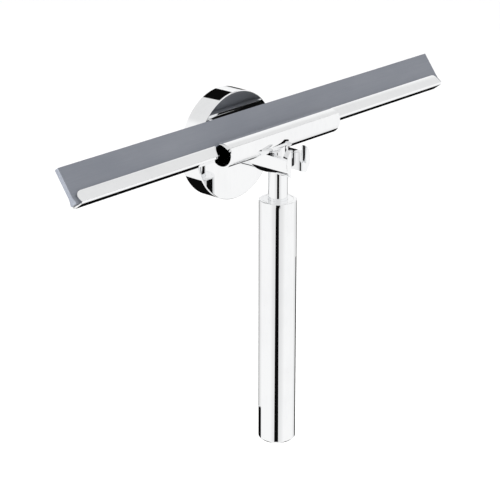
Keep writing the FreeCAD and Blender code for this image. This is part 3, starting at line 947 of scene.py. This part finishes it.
@dataclass
class Grip(Assembly):
    """Stem, handle and what ties them together inside."""

    body: ClassVar[str] = "grip"
    wall: float = 1.5 * MM
    chamfer: float = 1.0 * MM
    seam: float = 0.18 * MM
    fine_round: float = 0.12 * MM
    inner_round: float = 0.2 * MM
    top_round: float = 0.35 * MM
    foot_round: float = 0.25 * MM
    stem_round: float = 0.3 * MM
    bush_length: float = 11.2 * MM

    def build(self) -> None:
        """Make every piece of the grip."""
        self.tube()
        self.bush()
        self.stem()
        self.keep("stem_stud", "stem_seal", "bush_nut", "tie_rod", "rod_spacers", "base_plug", "base_seal")

    def turn(self, outline: Sequence[Point], closed: bool, name: str, node: str) -> bpy.types.Object:
        """Turn a piece round the handle's axis and dress it.

        Args:
            outline: Points as radius and height.
            closed: Whether the piece is a ring.
            name: The piece's name.
            node: The CAD node that it replaces.

        Returns:
            The finished piece.
        """
        centre = Vector((0, axis_y("handle_tube"), 0))
        piece = to_object(turned(outline, centre, Z_AXIS, closed=closed), name)
        soften(piece, TURNED_EDGE)
        return self.dress(piece, node)

    def tube(self) -> bpy.types.Object:
        """Handle tube, chamfered at its lower end."""
        low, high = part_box("handle_tube")
        radius, inner = high.x, high.x - self.wall
        outline = rounded([(inner, high.z, self.fine_round), (radius, high.z, self.top_round),
                           (radius, low.z + self.chamfer, self.foot_round),
                           (radius - self.chamfer, low.z, self.inner_round),
                           (inner, low.z, self.fine_round)], closed=True)
        return self.turn(outline, True, "handle_shell", "handle_tube")

    def bush(self) -> bpy.types.Object:
        """Plug in the tube's top, with fine seams to the tube and the stem."""
        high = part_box("handle_tube")[1]
        radius, bore = high.x - self.wall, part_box("stem")[1].x
        low_z = high.z - self.bush_length
        outline = rounded([(bore, high.z, self.seam), (radius, high.z, self.seam),
                           (radius, low_z, self.inner_round), (bore, low_z, self.inner_round)], closed=True)
        return self.turn(outline, True, "handle_plug", "handle_bush")

    def stem(self) -> bpy.types.Object:
        """Round rod between the head and the handle."""
        low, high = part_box("stem")
        outline = rounded([(0, low.z, 0), (high.x, low.z, self.stem_round),
                           (high.x, high.z, self.fine_round), (0, high.z, 0)], closed=False)
        return self.turn(outline, False, "stem_rod", "stem")


# ------------------------------------------------------------------------ studio

def direction(azimuth: float, elevation: float) -> Vector:
    """Unit vector from degrees: azimuth 0 points out of the wall, 90 along +X; elevation is up."""
    turn, lift = math.radians(azimuth), math.radians(elevation)
    return Vector((math.sin(turn) * math.cos(lift), -math.cos(turn) * math.cos(lift), math.sin(lift)))


def aim(obj: bpy.types.Object, along: Vector) -> None:
    """Turn a lamp or camera to look along a direction."""
    obj.rotation_mode = "QUATERNION"
    obj.rotation_quaternion = along.to_track_quat("-Z", "Y")


@dataclass(frozen=True)
class Card:
    """A plain card that stands round the object and shows only in what it reflects.

    Its sides are degrees as in direction(). It's wider at the bottom by its lean.
    """

    name: str
    azimuths: Span
    elevations: Span
    distance: float = 4.0
    lean: float = 0.0

    def sheet(self, middle: Vector) -> bmesh.types.BMesh:
        """Shape the card as a patch of a sphere.

        Args:
            middle: The middle of the object, and of the sphere.

        Returns:
            The card's mesh.
        """
        (left, right), (low, high) = self.azimuths, self.elevations
        bm = bmesh.new()
        bmesh.ops.create_grid(bm, x_segments=16, y_segments=4, size=1.0)
        for vert in bm.verts:
            across, up = vert.co.x, vert.co.y
            half = (right - left) / 2 + self.lean * (1 - up) / 2
            toward = direction((left + right) / 2 + across * half, (low + high) / 2 + up * (high - low) / 2)
            vert.co = middle + toward * self.distance
        return bm


@dataclass(frozen=True)
class Lamp:
    """A square soft box that points at the object."""

    name: str
    place: Tuple[float, float, float]
    size: float
    power: float


@dataclass
class Studio:
    """Pale floor, soft light, dark cards that only reflections see, and the camera.

    The room's levels blend over spans: of how far a direction points to the camera's side, from -1 to 1,
    or of its height, from -1 to 1.
    """

    middle: Tuple[float, float, float] = (0.0, -0.037, -0.06)
    floor_z: float = -0.45
    world: float = 1.0
    side_level: float = 1.0
    front_level: float = 0.8
    front_span: Span = (0.62, 0.97)
    back_level: float = 0.72
    back_span: Span = (-0.9, -0.25)
    horizon_span: Span = (-0.1, 0.25)
    top_level: float = 0.83
    top_span: Span = (0.48, 0.62)
    dark: float = 0.004
    shade_gap: float = 0.012
    shade_height: float = 0.45
    shade_z: float = -0.175
    camera_place: Tuple[float, float, float] = (-0.6382, -0.5923, 0.2691)
    camera_azimuth: float = -48.106
    camera_elevation: float = 20.47
    focal_length: float = 137.04
    sensor: float = 36.0
    lamps: Tuple[Lamp, ...] = (
        Lamp("left_box", (-1.4, 0.1, 0.15), 1.2, 34.0),
        Lamp("top_box", (0.9, -0.7, 1.3), 1.2, 10.0),
    )
    cards: Tuple[Card, ...] = (
        Card("camera_body", (-60.0, -35.0), (-14.3, -5.0), distance=0.45),
        Card("camera_stand", (-61.5, -42.0), (-40.0, -14.3), distance=0.45, lean=3.0),
        Card("dark_doorway", (134.0, 167.0), (24.0, 46.0)),
        Card("dark_skirting", (104.0, 148.0), (-20.5, 3.0)),
        Card("window_sill", (44.0, 57.0), (25.5, 34.0)),
        Card("dark_shelf", (136.0, 160.0), (-26.0, -17.5)),
        Card("dark_cupboard", (92.0, 130.0), (-28.0, -20.5)),
        Card("dark_table", (92.0, 193.0), (-57.0, -26.0)),
        Card("dark_table_end", (74.0, 92.0), (-65.0, -46.0)),
    )

    def build(self) -> None:
        """Make the set."""
        self.surroundings()
        self.floor()
        self.lights()
        self.reflected()
        self.camera()

    def surroundings(self) -> None:
        """White room whose mirror image is a little darker in front, above and low down behind."""
        world = bpy.data.worlds.new("white_room")
        graph = Graph(world, "Background")
        seen = graph.node("ShaderNodeTexCoord", {}, {}, "Generated")
        facing = graph.node("ShaderNodeVectorMath", {"operation": "DOT_PRODUCT"},
                            {0: seen, 1: direction(self.camera_azimuth, 0)}, "Value")
        height = graph.node("ShaderNodeSeparateXYZ", {}, {"Vector": seen}, "Z")
        front = graph.blend(facing, self.front_span, self.side_level, self.front_level)
        low = front * graph.blend(facing, self.back_span, self.back_level, 1.0)
        ceiling = graph.blend(height, self.top_span, 1.0, self.top_level)
        room = (low + (front - low) * graph.blend(height, self.horizon_span, 0.0, 1.0)) * ceiling
        mirrored = graph.node("ShaderNodeLightPath", {}, {}, "Is Glossy Ray")
        graph.surface(Color=(1, 1, 1, 1), Strength=self.world + (room - self.world) * mirrored)
        bpy.context.scene.world = world
        bpy.context.scene.view_settings.view_transform = "Standard"

    def floor(self) -> None:
        """Wide pale floor, which the chrome doesn't mirror."""
        bm = bmesh.new()
        bmesh.ops.create_grid(bm, x_segments=1, y_segments=1, size=6.0)
        bmesh.ops.translate(bm, vec=Vector((0, 0, self.floor_z)), verts=bm.verts)
        plane = to_object(bm, "floor")
        graph = Graph.of_material("pale_floor")
        cloud = graph.noise(graph.place(), 3.0, 3.0)
        graph.surface(Base_Color=graph.mix(cloud, (0.93, 0.93, 0.93), (0.96, 0.96, 0.96)), Roughness=0.8)
        plane.data.materials.append(graph.owner)
        plane.visible_glossy = False
        plane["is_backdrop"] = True

    def lights(self) -> None:
        """The soft boxes; the chrome doesn't mirror them."""
        for box in self.lamps:
            lamp = bpy.data.lights.new(box.name, "AREA")
            lamp.shape, lamp.size, lamp.energy = "SQUARE", box.size, box.power
            holder = bpy.data.objects.new(box.name, lamp)
            holder.location = box.place
            holder.visible_glossy = False
            aim(holder, Vector(self.middle) - Vector(box.place))
            bpy.context.scene.collection.objects.link(holder)

    def stand(self, name: str, bm: bmesh.types.BMesh) -> bpy.types.Object:
        """Put up a dark card that only reflections see.

        Args:
            name: The card's name.
            bm: Its mesh.

        Returns:
            The card.
        """
        made = to_object(bm, name)
        graph = Graph.of_material(name)
        glow = (self.dark, self.dark, self.dark, 1)
        graph.surface(Base_Color=(0, 0, 0, 1), Roughness=1.0, Emission_Color=glow,
                      Emission_Strength=1.0, Specular_IOR_Level=0.0)
        made.data.materials.append(graph.owner)
        made.visible_camera = made.visible_shadow = made.visible_diffuse = False
        made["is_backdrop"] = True
        return made

    def reflected(self) -> None:
        """The dark things that draw the black lines on the chrome, and the shade behind the blade."""
        for card in self.cards:
            self.stand(card.name, card.sheet(Vector(self.middle)))
        low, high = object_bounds()
        bm = bmesh.new()
        bmesh.ops.create_grid(bm, x_segments=1, y_segments=1, size=0.5,
                              matrix=Matrix.Rotation(math.pi / 2, 4, "X"))
        bmesh.ops.scale(bm, vec=Vector((high.x - low.x, 1, self.shade_height)), verts=bm.verts)
        bmesh.ops.translate(bm, vec=Vector((0, self.shade_gap, self.shade_z)), verts=bm.verts)
        shade = self.stand("wall_shade", bm)
        shade.visible_diffuse, shade.visible_glossy = True, False

    def camera(self) -> None:
        """Long lens from the left in front, looking slightly down."""
        data = bpy.data.cameras.new("camera")
        data.lens, data.sensor_width = self.focal_length, self.sensor
        data.clip_start, data.clip_end = 0.05, 50.0
        holder = bpy.data.objects.new("camera", data)
        holder.location = self.camera_place
        aim(holder, -direction(self.camera_azimuth, self.camera_elevation))
        bpy.context.scene.collection.objects.link(holder)
        bpy.context.scene.camera = holder


def main() -> None:
    """Build the set, then the object from the wall outwards."""
    logging.basicConfig(level=logging.INFO, format="%(message)s")
    Studio().build()
    finishes = Finishes()
    for kind in (WallHolder, Head, Channel, WipingRubber, Grip):
        kind(finishes).build()


if __name__ == "__main__":
    main()
